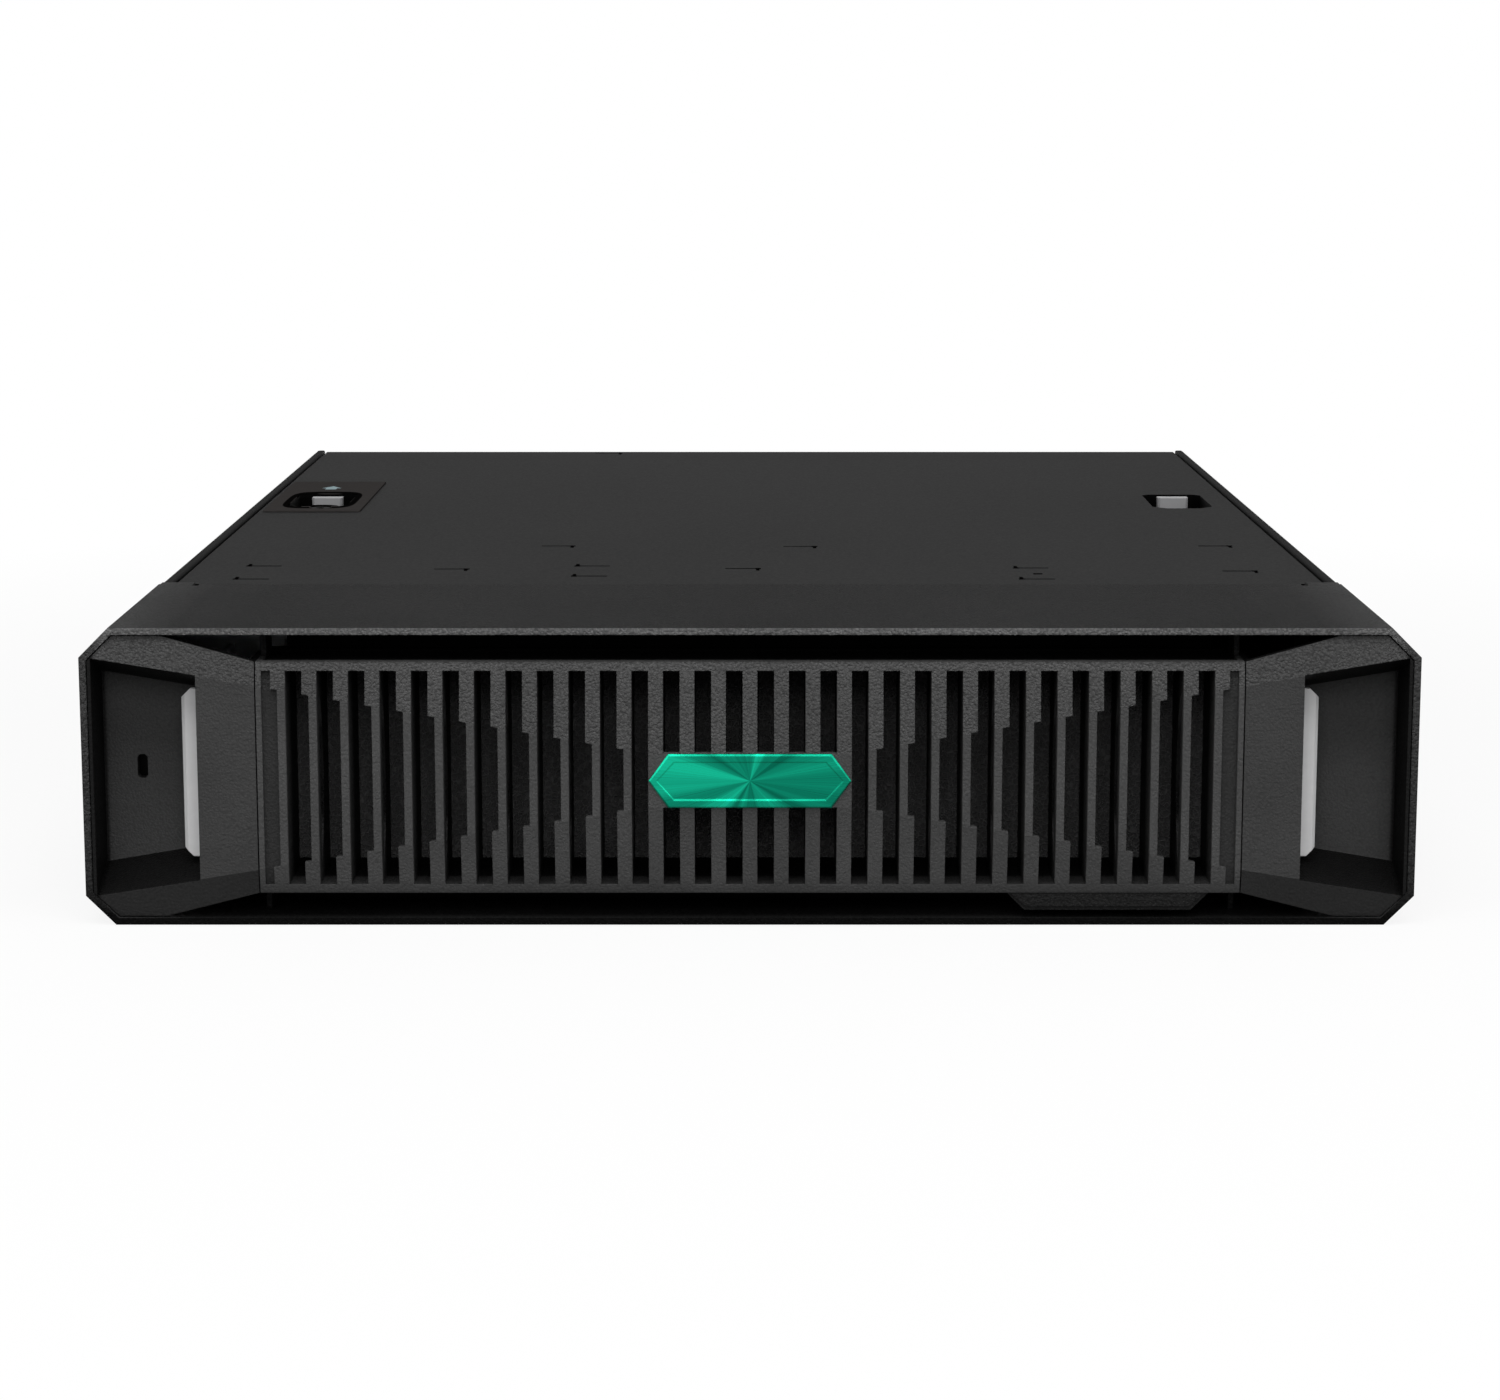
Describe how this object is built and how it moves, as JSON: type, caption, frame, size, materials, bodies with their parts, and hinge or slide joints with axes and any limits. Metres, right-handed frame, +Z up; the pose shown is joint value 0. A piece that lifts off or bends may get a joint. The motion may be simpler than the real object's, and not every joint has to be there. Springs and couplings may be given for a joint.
{
  "type": "rack server",
  "caption": "Two-unit short-depth rack server with a deep faceted ventilated front bezel, hand grips, lift-off cover and rear fans.",
  "frame": {"origin": "on the surface that the server stands on, at the centre of its footprint", "axes": "+Z up, +Y towards the rear fans, +X to the right when facing the bezel"},
  "size_m": [0.3858, 0.502, 0.0875],
  "materials": {
    "bezel_plastic": "charcoal, fine pebble texture",
    "dark_paint": "near-black fine-textured powder coat",
    "plated_steel": "zinc-plated sheet",
    "badge_metal": "brushed, anodised green-grey",
    "aluminium_fins": "bare extruded aluminium",
    "latch_plastic": "light grey, satin",
    "black_plastic": "black, fine matt",
    "carrier_plastic": "dark grey, satin",
    "release_plastic": "terracotta touch-point plastic",
    "filter_foam": "open-cell black foam",
    "label_plate": "dark film plate",
    "circuit_board": "green solder mask"
  },
  "bodies": {
    "chassis": {"bezel_ears": "dark_paint", "board_modules": "circuit_board", "board_standoffs": "plated_steel", "chassis_tray": "dark_paint", "control_board": "circuit_board", "cpu_carrier": "plated_steel", "dimm_sockets": "black_plastic", "drive_backplane": "circuit_board", "drive_cage": "plated_steel", "fan_bracket": "plated_steel", "fan_frame_1": "black_plastic", "fan_frame_2": "black_plastic", "fan_frame_3": "black_plastic", "fan_frame_4": "black_plastic", "front_panel": "plated_steel", "heat_sink": "aluminium_fins", "lan_ports": "plated_steel", "main_board": "circuit_board", "memory_modules": "circuit_board", "power_backplane": "circuit_board", "power_stage": "black_plastic", "psu_cage": "plated_steel", "rear_panel": "dark_paint", "riser_cage": "plated_steel", "riser_card": "circuit_board", "screws": "plated_steel", "slot_covers": "plated_steel", "small_sink": "aluminium_fins", "usb_ports": "plated_steel"},
    "bezel": {"bezel_shroud": "bezel_plastic", "bezel_grille": "bezel_plastic", "grip_left": "bezel_plastic", "grip_right": "bezel_plastic", "lock_plate": "plated_steel", "badge_plate": "badge_metal", "name_tab": "bezel_plastic", "latch_pins": "plated_steel", "filter_frame": "black_plastic", "filter_pads": "filter_foam"},
    "bezel_latch_left": {"latch_left": "latch_plastic"},
    "bezel_latch_right": {"latch_right": "latch_plastic"},
    "cover": {"access_panel": "dark_paint", "latch_label": "label_plate"},
    "cover_catch_left": {"cover_catch_left": "latch_plastic"},
    "cover_catch_right": {"cover_catch_right": "latch_plastic"},
    "cover_lock": {"cover_lock": "plated_steel"},
    "fan_rotor_1": {"fan_rotor_1": "black_plastic"},
    "fan_rotor_2": {"fan_rotor_2": "black_plastic"},
    "fan_rotor_3": {"fan_rotor_3": "black_plastic"},
    "fan_rotor_4": {"fan_rotor_4": "black_plastic"},
    "power_supply_1": {"psu_1": "plated_steel"},
    "psu_release_1": {"psu_release_1": "release_plastic"},
    "drive_1": {"drive_1": "carrier_plastic"},
    "drive_lever_1": {"drive_lever_1": "release_plastic"},
    "power_supply_2": {"psu_2": "plated_steel"},
    "psu_release_2": {"psu_release_2": "release_plastic"},
    "drive_2": {"drive_2": "carrier_plastic"},
    "drive_lever_2": {"drive_lever_2": "release_plastic"},
    "power_button": {"power_button": "latch_plastic"},
    "locator_button": {"locator_button": "latch_plastic"}
  },
  "joints": [
    {"name": "bezel_pull", "type": "slide", "parent": "chassis", "child": "bezel", "axis": [0, -1, 0], "range_m": [0, 0.12]},
    {"name": "latch_right_squeeze", "type": "hinge", "parent": "bezel", "child": "bezel_latch_right", "pos_m": [0.18605, -0.1958, 0.04375], "axis": [0, 0, -1], "range_deg": [0, 4], "stiffness_Nm_per_rad": 0.6},
    {"name": "latch_left_squeeze", "type": "hinge", "parent": "bezel", "child": "bezel_latch_left", "pos_m": [-0.18605, -0.1958, 0.04375], "axis": [0, 0, 1], "range_deg": [0, 4], "stiffness_Nm_per_rad": 0.6},
    {"name": "cover_lift", "type": "slide", "parent": "chassis", "child": "cover", "axis": [0, 0, 1], "range_m": [0, 0.1]},
    {"name": "catch_left_pull", "type": "slide", "parent": "cover", "child": "cover_catch_left", "axis": [0, 1, 0], "range_m": [0, 0.004], "stiffness_N_per_m": 400},
    {"name": "catch_right_pull", "type": "slide", "parent": "cover", "child": "cover_catch_right", "axis": [0, 1, 0], "range_m": [0, 0.004], "stiffness_N_per_m": 400},
    {"name": "cover_lock_turn", "type": "hinge", "parent": "cover", "child": "cover_lock", "pos_m": [-0.1582, 0.0476, 0.04375], "axis": [0, 0, 1], "range_deg": [0, 90]},
    {"name": "fan_1_spin", "type": "hinge", "parent": "chassis", "child": "fan_rotor_1", "pos_m": [-0.132, 0.2118, 0.042], "axis": [0, 1, 0], "continuous": true},
    {"name": "fan_2_spin", "type": "hinge", "parent": "chassis", "child": "fan_rotor_2", "pos_m": [-0.044, 0.2118, 0.042], "axis": [0, 1, 0], "continuous": true},
    {"name": "fan_3_spin", "type": "hinge", "parent": "chassis", "child": "fan_rotor_3", "pos_m": [0.044, 0.2118, 0.042], "axis": [0, 1, 0], "continuous": true},
    {"name": "fan_4_spin", "type": "hinge", "parent": "chassis", "child": "fan_rotor_4", "pos_m": [0.132, 0.2118, 0.042], "axis": [0, 1, 0], "continuous": true},
    {"name": "psu_1_slide", "type": "slide", "parent": "chassis", "child": "power_supply_1", "axis": [0, -1, 0], "range_m": [0, 0.035]},
    {"name": "psu_1_release", "type": "slide", "parent": "power_supply_1", "child": "psu_release_1", "axis": [-1, 0, 0], "range_m": [0, 0.003], "stiffness_N_per_m": 300},
    {"name": "psu_2_slide", "type": "slide", "parent": "chassis", "child": "power_supply_2", "axis": [0, -1, 0], "range_m": [0, 0.035]},
    {"name": "psu_2_release", "type": "slide", "parent": "power_supply_2", "child": "psu_release_2", "axis": [-1, 0, 0], "range_m": [0, 0.003], "stiffness_N_per_m": 300},
    {"name": "drive_1_slide", "type": "slide", "parent": "chassis", "child": "drive_1", "axis": [0, -1, 0], "range_m": [0, 0.05]},
    {"name": "drive_1_lever", "type": "hinge", "parent": "drive_1", "child": "drive_lever_1", "pos_m": [0.11265, -0.1596, 0.04375], "axis": [0, 0, -1], "range_deg": [0, 75]},
    {"name": "drive_2_slide", "type": "slide", "parent": "chassis", "child": "drive_2", "axis": [0, -1, 0], "range_m": [0, 0.05]},
    {"name": "drive_2_lever", "type": "hinge", "parent": "drive_2", "child": "drive_lever_2", "pos_m": [0.11265, -0.1596, 0.04375], "axis": [0, 0, -1], "range_deg": [0, 75]},
    {"name": "power_button_press", "type": "slide", "parent": "chassis", "child": "power_button", "axis": [0, 1, 0], "range_m": [0, 0.0012], "stiffness_N_per_m": 500},
    {"name": "locator_button_press", "type": "slide", "parent": "chassis", "child": "locator_button", "axis": [0, 1, 0], "range_m": [0, 0.0012], "stiffness_N_per_m": 500}
  ]
}
